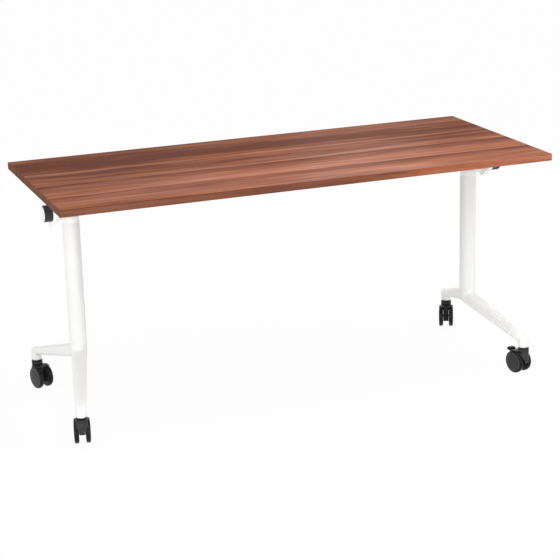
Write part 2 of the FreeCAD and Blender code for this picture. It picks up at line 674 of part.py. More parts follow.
def build_castor(name, x, y, turn, braked):
    """A swivelling twin-wheel castor: stem, hood, axle, two wheels and perhaps a brake pedal."""
    wheel_radius = wheel_dia / 2
    axle_x = x + trail * cosine(turn)
    axle_y = y + trail * sine(turn)

    stem = new_body("castor_stem_" + name)
    rod = sketch_on(stem, "XY_Plane", z=socket_low - stem_down)
    circle(rod, 0, 0, stem_dia)
    pad(stem, rod, stem_down + stem_up)
    place(stem, x, y)

    hood = new_body("castor_hood_" + name)
    shell = sketch_on(hood, "XZ_Plane")
    back_end = (trail + hood_radius * cosine(hood_back), wheel_radius + hood_radius * sine(hood_back))
    front_end = (trail + hood_radius * cosine(hood_front), wheel_radius + hood_radius * sine(hood_front))
    low_front = (trail - web_low_front, wheel_radius - web_low_drop)
    low_back = (trail + web_low_back, wheel_radius - web_back_drop)
    crown = Part.Circle(at(trail, wheel_radius), UP, hood_radius.value)
    sweep = [math.radians(angle.value) for angle in (hood_back, hood_front)]
    arc = shell.addGeometry(Part.ArcOfCircle(crown, *sweep))
    corners = [front_end, low_front, low_back, back_end]
    lines = []
    for first, second in zip(corners, corners[1:]):
        lines.append(shell.addGeometry(Part.LineSegment(at(*first), at(*second))))
    join(shell, arc, END, lines[0], START)
    join(shell, lines[0], END, lines[1], START)
    join(shell, lines[1], END, lines[2], START)
    join(shell, lines[2], END, arc, START)
    hold(shell, arc, CENTRE, trail, wheel_radius)
    drive(shell, "Radius", arc, hood_radius)
    drive(shell, "DistanceX", ORIGIN_POINT, START, arc, START, back_end[0])
    drive(shell, "DistanceY", ORIGIN_POINT, START, arc, END, front_end[1])
    hold(shell, lines[1], START, *low_front)
    hold(shell, lines[1], END, *low_back)
    shell_pad = pad(hood, shell, hood_half * 2, both=True)
    round_edges(hood, shell_pad, hood_round, is_shoulder)
    neck = sketch_on(hood, "XY_Plane", z=neck_low)
    circle(neck, 0, 0, neck_dia)
    pad(hood, neck, socket_low - swivel_gap - neck_low)
    ring = sketch_on(hood, "XZ_Plane")
    ring_out = neck_dia / 2 + neck_groove
    ring_in = neck_dia / 2 - neck_groove
    for ring_low in (neck_groove_low, neck_groove_high):
        polygon(ring, [
            (ring_in, ring_low),
            (ring_out, ring_low),
            (ring_out, ring_low + neck_groove),
            (ring_in, ring_low + neck_groove),
        ])
    spin(hood, "Groove", ring, "Z_Axis")
    for sign in (-1, 1):
        hollow = sketch_on(hood, "XZ_Plane", z=web_half * sign)
        circle(hollow, trail, wheel_radius, wheel_dia + wheel_clear * 2)
        pocket(hood, hollow, hood_half, backward=sign > 0)
    shield = sketch_on(hood, "YZ_Plane", z=-shield_plane)
    wide = hood_half * 2
    for sign in (-1, 1):
        polygon(shield, [
            (shield_tip * sign, shield_end),
            (wide * sign, shield_end),
            (wide * sign, shield_high),
            (shield_wide * sign, shield_high),
            (shield_tip * sign, shield_low),
        ])
    pocket(hood, shield, hood_radius)
    bore = sketch_on(hood, "XZ_Plane")
    circle(bore, trail, wheel_radius, axle_dia + plug_gap * 2)
    pocket(hood, bore, hood_half * 2, both=True)
    well = sketch_on(hood, "XY_Plane", z=socket_low - stem_down - face_gap)
    circle(well, 0, 0, stem_dia + fit_gap * 2)
    pocket(hood, well, stem_down + face_gap, backward=True)
    if braked:
        lug = sketch_on(hood, "XZ_Plane")
        polygon(lug, [
            (lug_front, lug_low),
            (lug_back, lug_low),
            (lug_back, pedal_z),
            (pedal_x, lug_high),
            (lug_front, lug_high),
        ])
        pad(hood, lug, web_half * 2, both=True)
        slot = sketch_on(hood, "XZ_Plane")
        slot_in = pedal_x - pedal_hub - face_gap
        slot_low = pedal_z - pedal_hub - face_gap
        polygon(slot, [
            (slot_in, slot_low),
            (pedal_end, slot_low),
            (pedal_end, pedal_high),
            (slot_in, pedal_high),
        ])
        pocket(hood, slot, pedal_slot, both=True)
        pin_bore = sketch_on(hood, "XZ_Plane")
        circle(pin_bore, pedal_x, pedal_z, pedal_pin_dia + plug_gap)
        pocket(hood, pin_bore, hood_half * 2, both=True)
    place(hood, x, y, turn=turn)

    axle = new_body("castor_axle_" + name)
    bar = sketch_on(axle, "XZ_Plane")
    circle(bar, 0, 0, axle_dia)
    pad(axle, bar, axle_half * 2, both=True)
    place(axle, axle_x, axle_y, wheel_radius, turn=turn)

    for label, sign in (("a", -1), ("b", 1)):
        wheel = new_body("wheel_%s_%s" % (name, label))
        profile = sketch_on(wheel, "YZ_Plane")
        bore_radius = axle_dia / 2 + fit_gap
        bore_end = axle_half + face_gap
        line_in = rim_line - rim_line_wide / 2
        line_out = rim_line + rim_line_wide / 2
        polygon(profile, [
            (bore_end * sign, 0),
            (bore_end * sign, bore_radius),
            (wheel_in * sign, bore_radius),
            (wheel_in * sign, wheel_radius - tread_bevel),
            ((wheel_in + tread_bevel) * sign, wheel_radius),
            ((wheel_out - tread_bevel) * sign, wheel_radius),
            (wheel_out * sign, wheel_radius - tread_bevel),
            (wheel_out * sign, line_out),
            ((wheel_out - rim_line_deep) * sign, line_out),
            ((wheel_out - rim_line_deep) * sign, line_in),
            (wheel_out * sign, line_in),
            ((wheel_out + wheel_crown) * sign, 0),
        ])
        spin(wheel, "Revolution", profile, "Y_Axis")
        place(wheel, axle_x, axle_y, wheel_radius, turn=turn)

    if braked:
        build_pedal(name, x, y, turn)


def build_pedal(name, x, y, turn):
    """A brake pedal: eye on its pin, stem through the hood and a wide tread."""
    pedal = new_body("brake_pedal_" + name)
    eye = sketch_on(pedal, "XZ_Plane")
    circle(eye, pedal_x, pedal_z, pedal_hub * 2)
    pad(pedal, eye, pedal_stem, both=True)
    stem = sketch_on(pedal, "XZ_Plane")
    polygon(stem, [
        (pedal_x - pedal_root_front, pedal_z + pedal_root_high),
        (pedal_x + pedal_root_back, pedal_z - pedal_root_drop),
        (pedal_start + pedal_stem_long, pedal_end_low),
        (pedal_start, pedal_end_low),
    ])
    pad(pedal, stem, pedal_stem, both=True)
    tread = sketch_on(pedal, "XZ_Plane")
    polygon(tread, [
        (pedal_start, pedal_low),
        (pedal_end, pedal_end_low),
        (pedal_end, pedal_end_high),
        (pedal_end - pedal_drop, pedal_high),
        (pedal_start, pedal_high),
    ])
    pad(pedal, tread, pedal_wide, both=True)
    bore = sketch_on(pedal, "XZ_Plane")
    circle(bore, pedal_x, pedal_z, pedal_pin_dia + fit_gap * 2)
    pocket(pedal, bore, pedal_wide, both=True)
    place(pedal, x, y, turn=turn)
    pin = new_body("pedal_pin_" + name)
    rod = sketch_on(pin, "XZ_Plane")
    circle(rod, pedal_x, pedal_z, pedal_pin_dia)
    pad(pin, rod, web_half * 2, both=True)
    place(pin, x, y, turn=turn)


def build_screws():
    """The bracket screws, one group of separate solids."""
    screws = []
    for number, (x, y) in enumerate(screw_spots):
        head = doc.addObject("Part::Cylinder", "screw_head_%d" % number)
        bind(head, "Radius", screw_head_dia / 2)
        bind(head, "Height", screw_head_thick)
        place(head, x, y, plate_low - screw_head_thick)
        shank = doc.addObject("Part::Cylinder", "screw_shank_%d" % number)
        bind(shank, "Radius", screw_dia / 2)
        bind(shank, "Height", plate_thick + screw_bite)
        place(shank, x, y, plate_low)
        screw = doc.addObject("Part::Fuse", "screw_%d" % number)
        screw.Base = head
        screw.Tool = shank
        screws.append(screw)
    group = doc.addObject("Part::Compound", "bracket_screws")
    group.Label = "bracket_screws"
    group.Links = screws
    parts.append(group)


build_screws()
for side_name, side_sign in SIDES.items():
    build_column(side_name, side_sign)
    build_head(side_name, side_sign)
    build_tilt_pin(side_name, side_sign)
    build_bracket(side_name, side_sign)
    build_knob(side_name, side_sign)
    build_foot(side_name, side_sign)

front_y = column_y - front_reach
back_y = column_y + back_reach
build_castor("fl", -(column_x + front_out), front_y, angle_fl, True)
build_castor("fr", column_x + front_out, front_y, angle_fr, True)
build_castor("bl", -(column_x + back_out), back_y, angle_bl, False)
build_castor("br", column_x + back_out, back_y, angle_br, False)

doc.recompute()
for item in doc.Objects:
    if "Invalid" in item.State or "Error" in item.State:
        raise RuntimeError("%s did not build: %s" % (item.Name, item.State))
os.makedirs("parts", exist_ok=True)
for item in parts:
    if item.Shape.isNull() or not item.Shape.isValid():
        raise RuntimeError("%s has no valid shape" % item.Label)
    if item.TypeId == "PartDesign::Body" and len(item.Shape.Solids) != 1:
        raise RuntimeError("%s is in %d solids" % (item.Label, len(item.Shape.Solids)))
    item.Shape.exportStep("parts/%s.step" % item.Label)
whole = FreeCAD.BoundBox()
for item in parts:
    whole.add(item.Shape.BoundBox)
print("%d pieces, x %.1f to %.1f, y %.1f to %.1f, z %.1f to %.1f" % (
    len(parts), whole.XMin, whole.XMax, whole.YMin, whole.YMax, whole.ZMin, whole.ZMax))
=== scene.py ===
# %% [markdown]
# # A tilting-top table on castors
# The solids of the table are already made and packed: the walnut-look top, two white columns on splayed
# feet, a release knob at each end and four twin-wheel castors. This lesson dresses them. Each step says
# what the piece or finish is on the real table, how it could be made, and why it is made this way.

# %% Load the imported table
import json
import math

import bmesh
import bpy
from mathutils import Matrix, Vector


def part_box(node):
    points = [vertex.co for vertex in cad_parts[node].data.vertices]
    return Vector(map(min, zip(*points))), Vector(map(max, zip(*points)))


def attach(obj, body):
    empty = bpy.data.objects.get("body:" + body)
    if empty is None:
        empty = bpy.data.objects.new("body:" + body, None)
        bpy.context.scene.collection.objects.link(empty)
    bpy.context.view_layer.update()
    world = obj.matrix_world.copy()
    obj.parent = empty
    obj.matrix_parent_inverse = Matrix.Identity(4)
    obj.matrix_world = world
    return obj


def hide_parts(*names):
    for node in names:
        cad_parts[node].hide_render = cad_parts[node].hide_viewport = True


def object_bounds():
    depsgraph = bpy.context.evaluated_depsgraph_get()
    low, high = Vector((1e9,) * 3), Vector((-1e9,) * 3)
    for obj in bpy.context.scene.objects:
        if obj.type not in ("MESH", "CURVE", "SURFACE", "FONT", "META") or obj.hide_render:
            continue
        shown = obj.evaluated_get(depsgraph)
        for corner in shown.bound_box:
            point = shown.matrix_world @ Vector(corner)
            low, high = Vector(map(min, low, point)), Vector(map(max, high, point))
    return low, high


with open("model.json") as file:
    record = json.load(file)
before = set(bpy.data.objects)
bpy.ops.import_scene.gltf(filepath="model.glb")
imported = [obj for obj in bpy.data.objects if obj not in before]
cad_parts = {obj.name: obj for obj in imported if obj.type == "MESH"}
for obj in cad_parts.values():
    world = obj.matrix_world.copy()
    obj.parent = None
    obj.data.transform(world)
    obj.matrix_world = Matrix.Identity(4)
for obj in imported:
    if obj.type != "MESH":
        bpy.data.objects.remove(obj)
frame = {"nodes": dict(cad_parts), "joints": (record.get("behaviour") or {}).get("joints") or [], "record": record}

cad_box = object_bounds()
nodes = frame["nodes"]
joints = {joint["name"]: joint for joint in frame["joints"]}
body_of_node = {}
for body_name, members in frame["record"]["behaviour"]["bodies"].items():
    for member in members:
        body_of_node[member] = body_name
slot_of_node = {part["node"]: part["material_slot"] for part in frame["record"]["subparts"]}
MM = 0.001
print("nodes:", len(nodes), "joints:", len(joints))
print("box in metres:", [round(v, 4) for v in cad_box[0]], [round(v, 4) for v in cad_box[1]])

# %% [markdown]
# ## Small helpers for shader nodes
# Every finish here is a graph of shader nodes. Blender's own calls for adding a node, setting its sockets
# and linking it are long, so a few short helpers keep the graphs readable. A socket given as a value
# becomes a link, and a plain number or colour is set on the socket itself.

# %% Helpers for shader nodes
def add(tree, kind, sockets=None, **settings):
    """Adds one shader node, sets its options and fills its sockets."""
    made = tree.nodes.new("ShaderNode" + kind)
    for name, value in settings.items():
        setattr(made, name, value)
    for name, value in (sockets or {}).items():
        if isinstance(value, bpy.types.NodeSocket):
            tree.links.new(value, made.inputs[name])
        else:
            made.inputs[name].default_value = value
    return made


def maths(tree, operation, first, second=0.0, third=0.0):
    """One arithmetic step; returns the result's socket."""
    return add(tree, "Math", {0: first, 1: second, 2: third}, operation=operation).outputs[0]


def mixed(tree, factor, first, second, blend="MIX"):
    """Mixes two colours; returns the result's socket."""
    return add(tree, "Mix", {0: factor, 6: first, 7: second}, data_type="RGBA", blend_type=blend).outputs[2]


def ranged(tree, value, low, high, first=0.0, last=1.0, kind="LINEAR"):
    """Takes low..high to first..last and holds the ends; returns the result's socket."""
    sockets = {0: value, 1: low, 2: high, 3: first, 4: last}
    return add(tree, "MapRange", sockets, interpolation_type=kind).outputs[0]


def stretched_noise(tree, place, lengthways, across, detail=3.0, deep=None):
    """Noise drawn out along the grain: few cells per metre along it and many across it."""
    drawn_out = add(tree, "Mapping", {"Vector": place, "Scale": (lengthways, across, deep or across)})
    sockets = {"Vector": drawn_out.outputs[0], "Scale": 1.0, "Detail": detail, "Roughness": 0.55}
    return add(tree, "TexNoise", sockets).outputs["Fac"]


def new_group(name, inputs, outputs):
    """A shader node group with named sockets; returns it with its input and output nodes."""
    group = bpy.data.node_groups.new(name, "ShaderNodeTree")
    for label, kind, value in inputs:
        socket = group.interface.new_socket(label, in_out="INPUT", socket_type=kind)
        if value is not None:
            socket.default_value = value
    for label, kind in outputs:
        group.interface.new_socket(label, in_out="OUTPUT", socket_type=kind)
    return group, group.nodes.new("NodeGroupInput"), group.nodes.new("NodeGroupOutput")


def use_group(tree, group, **sockets):
    made = tree.nodes.new("ShaderNodeGroup")
    made.node_tree = group
    for name, value in sockets.items():
        label = name.replace("_", " ")
        if isinstance(value, bpy.types.NodeSocket):
            tree.links.new(value, made.inputs[label])
        else:
            made.inputs[label].default_value = value
    return made


def new_material(name):
    """A material with only a Principled shader; returns it, its tree and the shader."""
    material = bpy.data.materials.new(name)
    material.use_nodes = True
    return material, material.node_tree, material.node_tree.nodes["Principled BSDF"]


FLOAT, VECTOR = "NodeSocketFloat", "NodeSocketVector"
print("helpers ready")

# %% [markdown]
# ## Walnut figure
# The top is a laminate printed with long walnut staves. A stave starts dark behind a clean line across
# the grain, and fades to a warm light brown towards the front, where the next line cuts it off. The lines
# wander a little, and broad streaks, fine streaks, warmer and cooler streaks and short pores run along
# them. A wood image could be wrapped on, but a formula stays sharp at any distance. So a group adds up
# one dark fall per stave, from a short list of lines, and noise that is drawn out along the grain. The
# edges use the same group with their own direction of grain.

# %% The walnut figure as a node group
STAVES = (
    # line, how dark it starts, how far the dark reaches to the front, how soft the line is
    (0.255, 0.74, 0.220, 0.070),
    (0.098, 0.50, 0.150, 0.004),
    (-0.042, 0.50, 0.110, 0.004),
    (-0.196, 0.46, 0.090, 0.004),
)
STREAKS = ((0.9, 11.0, 0.90), (2.2, 38.0, 1.05), (5.0, 110.0, 1.35))
# how the lines and streaks wander: cells per metre along and across the grain, and by how many metres
WANDERS = ((1.1, 3.0, 0.030), (4.5, 10.0, 0.014))
# where staves fade, where the tone turns warm, and pores: cells per metre along and across the grain
FADE_CELLS, WARM_CELLS, PORE_CELLS = (1.7, 7.0), (1.4, 17.0), (38.0, 1500.0)
FADE_RANGE, WARM_RANGE, PORE_RANGE = (0.36, 0.64), (0.38, 0.62), (0.60, 0.72)
STAVE_DEPTHS = (0.55, 1.30)
FEW_OCTAVES = 2.0
GLEAM_REACH = 0.022
GLEAM = 0.18
FRONT_PAINTED_LIGHT = 0.10
TOP_HALF_DEPTH = cad_box[1].y
BACK_RIM = 0.014
BACK_RIM_DARK = 0.70


def build_walnut_figure():
    group, given, result = new_group(
        "walnut figure",
        [("Grain", VECTOR, None), ("Stave Depth", FLOAT, 1.0)],
        [("Shade", FLOAT), ("Warmth", FLOAT), ("Pores", FLOAT), ("Height", FLOAT)],
    )
    place = given.outputs["Grain"]
    straight = add(group, "SeparateXYZ", {0: place}).outputs
    across = straight["Y"]
    for lengthways, finer, reach in WANDERS:
        wander = maths(group, "SUBTRACT", stretched_noise(group, place, lengthways, finer, FEW_OCTAVES), 0.5)
        across = maths(group, "MULTIPLY_ADD", wander, reach, across)
    flowing = add(group, "CombineXYZ", {"X": straight["X"], "Y": across, "Z": straight["Z"]}).outputs[0]
    # Painted light: the face is painted paler towards its front edge and darker towards the back, in place of
    # light that falls off from the front.
    staves = ranged(group, across, -TOP_HALF_DEPTH, TOP_HALF_DEPTH, -FRONT_PAINTED_LIGHT, FRONT_PAINTED_LIGHT)
    for line, depth, reach, blur in STAVES:
        ahead = maths(group, "SUBTRACT", line, across)
        begun = ranged(group, ahead, -blur, blur)
        falling = ranged(group, ahead, 0.0, reach, depth, 0.0, "SMOOTHSTEP")
        staves = maths(group, "MULTIPLY_ADD", begun, falling, staves)
        gleam = ranged(group, ahead, -GLEAM_REACH, 0.0, 0.0, -GLEAM)
        staves = maths(group, "MULTIPLY_ADD", maths(group, "SUBTRACT", 1.0, begun), gleam, staves)
    rim_start = TOP_HALF_DEPTH - BACK_RIM
    rim = ranged(group, straight["Y"], rim_start, TOP_HALF_DEPTH, 0.0, BACK_RIM_DARK)
    staves = maths(group, "ADD", staves, rim)
    fade = stretched_noise(group, flowing, *FADE_CELLS, FEW_OCTAVES)
    comes_and_goes = ranged(group, fade, *FADE_RANGE, *STAVE_DEPTHS)
    depth = maths(group, "MULTIPLY", comes_and_goes, given.outputs["Stave Depth"])
    shade = maths(group, "MULTIPLY", staves, depth)
    for lengthways, finer, weight in STREAKS:
        streak = maths(group, "SUBTRACT", stretched_noise(group, flowing, lengthways, finer), 0.5)
        shade = maths(group, "MULTIPLY_ADD", streak, weight, shade)
    warmth = ranged(group, stretched_noise(group, flowing, *WARM_CELLS, FEW_OCTAVES), *WARM_RANGE)
    dashes = stretched_noise(group, place, *PORE_CELLS, FEW_OCTAVES)
    pores = ranged(group, dashes, *PORE_RANGE)
    group.links.new(shade, result.inputs["Shade"])
    group.links.new(warmth, result.inputs["Warmth"])
    group.links.new(pores, result.inputs["Pores"])
    group.links.new(maths(group, "MULTIPLY_ADD", pores, -1.0, dashes), result.inputs["Height"])
    return group


WALNUT_FIGURE = build_walnut_figure()
print("group:", WALNUT_FIGURE.name)

# %% [markdown]
# ## Walnut laminate
# On the face of the top the grain runs along X. On an edge band it runs along the band, so the
# coordinates are turned first: along X on the two long bands and along Y on the two ends. The end bands
# are a greyer print. Along the long bands a thin dark line shows where band and face meet. The laminate
# is a matt resin skin that only shines at a low angle, so its specular level is very low.

# %% Walnut materials
FACE_TONES = ((0.396, 0.178, 0.116), (0.258, 0.103, 0.066), (0.130, 0.050, 0.036))
LONG_EDGE_TONES = ((0.280, 0.110, 0.067), (0.201, 0.073, 0.044), (0.112, 0.041, 0.027))
END_EDGE_TONES = ((0.222, 0.110, 0.078), (0.170, 0.080, 0.056), (0.113, 0.051, 0.036))
WARM_SHIFT = (1.06, 0.97, 0.80, 1.0)
COOL_SHIFT = (0.98, 1.00, 1.05, 1.0)
PORE_BROWN = (0.090, 0.038, 0.028, 1.0)
JOINT_BROWN = (0.085, 0.034, 0.026, 1.0)
JOINT_WIDE = 2.4 * MM
JOINT_SHARES = (0.75, 0.25)
PORE_SHARE = 0.40
PORE_RELIEF = 0.12
LAMINATE_ROUGHNESS = (0.22, 0.34)
LAMINATE_SHINE = 0.0004
RELIEF_DEEP = 0.2 * MM
TOP_FACE = cad_box[1].z


def walnut(name, tones, turn=(0.0, 0.0, 0.0), stave_depth=0.0, darker=0.5, joint=False):
    """A matt walnut laminate whose grain runs along X before the coordinates are turned."""
    material, tree, shader = new_material(name)
    place = add(tree, "TexCoord").outputs["Object"]
    grain = add(tree, "Mapping", {"Vector": place, "Rotation": turn}).outputs[0]
    figure = use_group(tree, WALNUT_FIGURE, Grain=grain, Stave_Depth=stave_depth)
    shade = maths(tree, "ADD", figure.outputs["Shade"], darker)
    ramp = add(tree, "ValToRGB", {0: shade})
    stops = ramp.color_ramp.elements
    stops.new(0.5)
    for stop, position, tone in zip(stops, (0.0, 0.5, 1.0), tones):
        stop.position, stop.color = position, tone + (1.0,)
    shift = mixed(tree, figure.outputs["Warmth"], COOL_SHIFT, WARM_SHIFT)
    colour = mixed(tree, 1.0, ramp.outputs[0], shift, "MULTIPLY")
    pore_share = maths(tree, "MULTIPLY", figure.outputs["Pores"], PORE_SHARE)
    colour = mixed(tree, pore_share, colour, PORE_BROWN)
    if joint:
        height = add(tree, "SeparateXYZ", {0: place}).outputs["Z"]
        line = ranged(tree, height, TOP_FACE - JOINT_WIDE, TOP_FACE - JOINT_WIDE / 2)
        line_share = ranged(tree, figure.outputs["Warmth"], 0.0, 1.0, *JOINT_SHARES)
        colour = mixed(tree, maths(tree, "MULTIPLY", line, line_share), colour, JOINT_BROWN)
    tree.links.new(colour, shader.inputs["Base Color"])
    tree.links.new(ranged(tree, shade, 0.0, 1.0, *LAMINATE_ROUGHNESS), shader.inputs["Roughness"])
    relief = {"Strength": PORE_RELIEF, "Distance": RELIEF_DEEP, "Height": figure.outputs["Height"]}
    bump = add(tree, "Bump", relief)
    tree.links.new(bump.outputs[0], shader.inputs["Normal"])
    shader.inputs["Specular IOR Level"].default_value = LAMINATE_SHINE
    return material


QUARTER = math.radians(90)
WALNUT_TOP = walnut("walnut_top", FACE_TONES, stave_depth=1.0, darker=0.45)
WALNUT_LONG_EDGE = walnut("walnut_long_edge", LONG_EDGE_TONES, (QUARTER, 0.0, 0.0), joint=True)
WALNUT_END_EDGE = walnut("walnut_end_edge", END_EDGE_TONES, (QUARTER, 0.0, QUARTER))
print("walnut materials made")

# %% [markdown]
# ## Coated, moulded and plated surfaces
# The columns, feet and brackets are powder coated: an even off-white skin with a faint orange peel. Knobs
# and castors are moulded plastic with a fine spark texture and a few pale scuffs. Both need the same two
# things, a very fine relief and slow patches where the sheen or the tone shifts a little, so one group
# makes them.

# %% Fine relief and slow patches as a node group
# scuffs: cells per metre along, across and through, where they start and are full, how much paler they are
SCUFF_ALONG, SCUFF_ACROSS, SCUFF_THROUGH = 35.0, 500.0, 160.0
SCUFF_RANGE = (0.64, 0.74)
SCUFF_PALER = 0.12
PATCH_RANGE = (0.3, 0.7)


def build_surface_life():
    group, given, result = new_group(
        "surface life",
        [("Place", VECTOR, None), ("Grain Scale", FLOAT, 900.0),
         ("Patch Scale", FLOAT, 14.0), ("Scuffs", FLOAT, 0.0)],
        [("Relief", FLOAT), ("Patches", FLOAT), ("Scuff", FLOAT)],
    )
    place = given.outputs["Place"]
    relief = add(group, "TexNoise", {"Vector": place, "Scale": given.outputs["Grain Scale"], "Detail": 2.0})
    patches = add(group, "TexNoise", {"Vector": place, "Scale": given.outputs["Patch Scale"], "Detail": 4.0})
    lines = stretched_noise(group, place, SCUFF_ALONG, SCUFF_ACROSS, FEW_OCTAVES, SCUFF_THROUGH)
    thin = maths(group, "MULTIPLY", ranged(group, lines, *SCUFF_RANGE), patches.outputs["Fac"])
    scuff = maths(group, "MULTIPLY", thin, given.outputs["Scuffs"])
    group.links.new(relief.outputs["Fac"], result.inputs["Relief"])
    group.links.new(patches.outputs["Fac"], result.inputs["Patches"])
    group.links.new(scuff, result.inputs["Scuff"])
    return group


SURFACE_LIFE = build_surface_life()


def hard_finish(name, tones, rough, grain, relief, patch=14.0, scuffs=0.0, metal=0.0, shine=0.5):
    """A coated, moulded or plated surface: two near tones, uneven sheen, fine relief and scuffs."""
    material, tree, shader = new_material(name)
    place = add(tree, "TexCoord").outputs["Object"]
    life = use_group(tree, SURFACE_LIFE, Place=place, Grain_Scale=grain, Patch_Scale=patch, Scuffs=scuffs)
    deep, pale = tones
    tone = mixed(tree, life.outputs["Patches"], deep + (1.0,), pale + (1.0,))
    scuffed = tuple(min(1.0, part + SCUFF_PALER) for part in pale) + (1.0,)
    tree.links.new(mixed(tree, life.outputs["Scuff"], tone, scuffed), shader.inputs["Base Color"])
    tree.links.new(ranged(tree, life.outputs["Patches"], *PATCH_RANGE, *rough), shader.inputs["Roughness"])
    bump = add(tree, "Bump", {"Strength": relief, "Distance": RELIEF_DEEP, "Height": life.outputs["Relief"]})
    tree.links.new(bump.outputs[0], shader.inputs["Normal"])
    shader.inputs["Metallic"].default_value = metal
    shader.inputs["Specular IOR Level"].default_value = shine
    return material


def grey(level, tint=0.0):
    """A neutral colour, a little blue where tint is above zero and a little brown below."""
    return (level, level * (1 + tint / 3), level * (1 + tint))


WHITE_TONES = ((0.860, 0.870, 0.852), (0.898, 0.908, 0.890))
WHITE_COAT = hard_finish("white_powder_coat", WHITE_TONES, (0.34, 0.44), 700.0, 0.05)
PLASTIC_SHINE = 0.2


def plastic(name, deep, pale, rough, scuffs=0.3, tint=0.0, patch=45.0, shine=PLASTIC_SHINE):
    """A dark moulded plastic, between two near tones."""
    tones = (grey(deep, tint), grey(pale, tint))
    return hard_finish(name, tones, rough, 1500.0, 0.1, patch, scuffs, shine=shine)


BLACK_MOULDED = plastic("black_moulded", 0.006, 0.014, (0.22, 0.36))
KNOB_BLACK = plastic("knob_black", 0.022, 0.038, (0.26, 0.40), tint=0.14)
PEDAL_BLACK = plastic("pedal_black", 0.006, 0.012, (0.26, 0.40), shine=0.08)
# painted highlight: a pale tone for the wide rounds on the edges of the shield
HOOD_EDGE_HIGHLIGHT = plastic("hood_edge_painted_highlight", 0.11, 0.16, (0.24, 0.34), 0.0, 0.06, 60.0)
# painted light: a paler tone for the faces of the shield that look forward
PAINTED_LIT_SHIELD = plastic("hood_shield_painted_light", 0.028, 0.042, (0.30, 0.42), tint=0.14)
NECK_COLLAR = plastic("neck_collar", 0.034, 0.050, (0.34, 0.46), tint=-0.12)
WHEEL_DISC = plastic("wheel_disc", 0.024, 0.038, (0.34, 0.48), tint=0.06)
# painted highlight: a pale tone for the groove near the rim of each wheel
WHEEL_GROOVE_HIGHLIGHT = plastic("wheel_groove_painted_highlight", 0.10, 0.14, (0.30, 0.42), 0.0, 0.03, 60.0)
WHEEL_TREAD = plastic("wheel_tread", 0.004, 0.010, (0.14, 0.26), patch=60.0)
PALE_CAP = hard_finish("pale_cap", (grey(0.87), grey(0.91)), (0.30, 0.42), 1500.0, 0.06, 30.0)
ZINC_STEEL = hard_finish("zinc_steel", (grey(0.50), grey(0.66)), (0.28, 0.45), 1200.0, 0.1, 90.0, 0.3, 1.0)
MATERIAL_OF_SLOT = {
    "walnut_top": WALNUT_TOP, "walnut_edge": WALNUT_LONG_EDGE, "white_paint": WHITE_COAT, "steel": ZINC_STEEL,
    "black_plastic": BLACK_MOULDED, "wheel_black": WHEEL_DISC, "pale_cap": PALE_CAP,
}
print("finishes:", ", ".join(sorted(material.name for material in bpy.data.materials)))

# %% [markdown]
# ## Finish every carried-over solid
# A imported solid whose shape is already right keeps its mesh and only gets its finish, chosen by the
# record's material slot. The two end bands get the walnut whose grain runs along Y.

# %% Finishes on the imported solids
for name, node in nodes.items():
    node.data.materials.clear()
    node.data.materials.append(MATERIAL_OF_SLOT[slot_of_node[name]])
for name in ("edge_band_left", "edge_band_right"):
    nodes[name].data.materials[0] = WALNUT_END_EDGE
print("finished nodes:", len(nodes))

# %% [markdown]
# ## Helpers for pieces
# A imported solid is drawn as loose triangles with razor-sharp edges. Real castings and mouldings have
# small radii that catch the light, so most pieces are remade here: either from a copy of the solid with
# its corners rounded, or turned from a profile on a spin axis, as on a lathe. Every new piece rides with
# the solid that it stands for.

# %% Helpers for pieces
WELD = 1e-6


def finish_piece(shape, name, stands_for, materials, sharp=38.0):
    """Turns a bmesh into a piece that rides with the solids it stands for."""
    bmesh.ops.recalc_face_normals(shape, faces=shape.faces)
    mesh = bpy.data.meshes.new(name)
    shape.to_mesh(mesh)
    shape.free()
    for material in materials:
        mesh.materials.append(material)
    mesh.shade_smooth()
    mesh.set_sharp_from_angle(angle=math.radians(sharp))
    piece = bpy.data.objects.new(name, mesh)
    bpy.context.scene.collection.objects.link(piece)
    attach(piece, body_of_node[stands_for[0]])
    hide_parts(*stands_for)
    print(name, "faces:", len(mesh.polygons))
    return piece


def merged_copy(node_name):
    """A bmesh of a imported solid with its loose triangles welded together."""
    shape = bmesh.new()
    shape.from_mesh(nodes[node_name].data)
    bmesh.ops.remove_doubles(shape, verts=shape.verts, dist=WELD)
    return shape


def round_edges(shape, edges, width, segments):
    """Rounds some edges; returns the faces of the rounds."""
    made = bmesh.ops.bevel(shape, geom=edges, offset=width, offset_type="OFFSET", affect="EDGES",
                           segments=segments, profile=0.5, material=-1, clamp_overlap=True)
    return made["faces"]


def sharp_edges(shape, least=30.0):
    """Makes flat faces whole and lists every edge that is sharper than an angle."""
    bmesh.ops.dissolve_limit(shape, angle_limit=math.radians(0.5), verts=shape.verts, edges=shape.edges)
    return [edge for edge in shape.edges if edge.is_manifold and edge.calc_face_angle() > math.radians(least)]


def soften(shape, width, segments=2):
    """Rounds every sharp edge of a shape."""
    round_edges(shape, sharp_edges(shape), width, segments)
    return shape


def turned(profile, steps=72):
    """A lathe-turned shape about Z from (radius, height, corner radius) points."""
    shape = bmesh.new()
    points = [shape.verts.new((radius, 0.0, height)) for radius, height, corner in profile]
    for pair in zip(points, points[1:]):
        shape.edges.new(pair)
    for point, (radius, height, corner) in zip(points, profile):
        if corner:
            bmesh.ops.bevel(shape, geom=[point], offset=corner, offset_type="OFFSET", affect="VERTICES",
                            segments=4, profile=0.5, material=-1, clamp_overlap=True)
    bmesh.ops.spin(shape, geom=shape.verts[:] + shape.edges[:], axis=(0, 0, 1), cent=(0, 0, 0),
                   dvec=(0, 0, 0), angle=math.tau, steps=steps, use_merge=True, use_duplicate=False)
    bmesh.ops.remove_doubles(shape, verts=shape.verts, dist=WELD)
    return shape


def stood(place, axis):
    """The matrix that stands a shape turned about Z on a point, with Z along an axis."""
    return Matrix.Translation(place) @ Vector(axis).to_track_quat("Z", "Y").to_matrix().to_4x4()


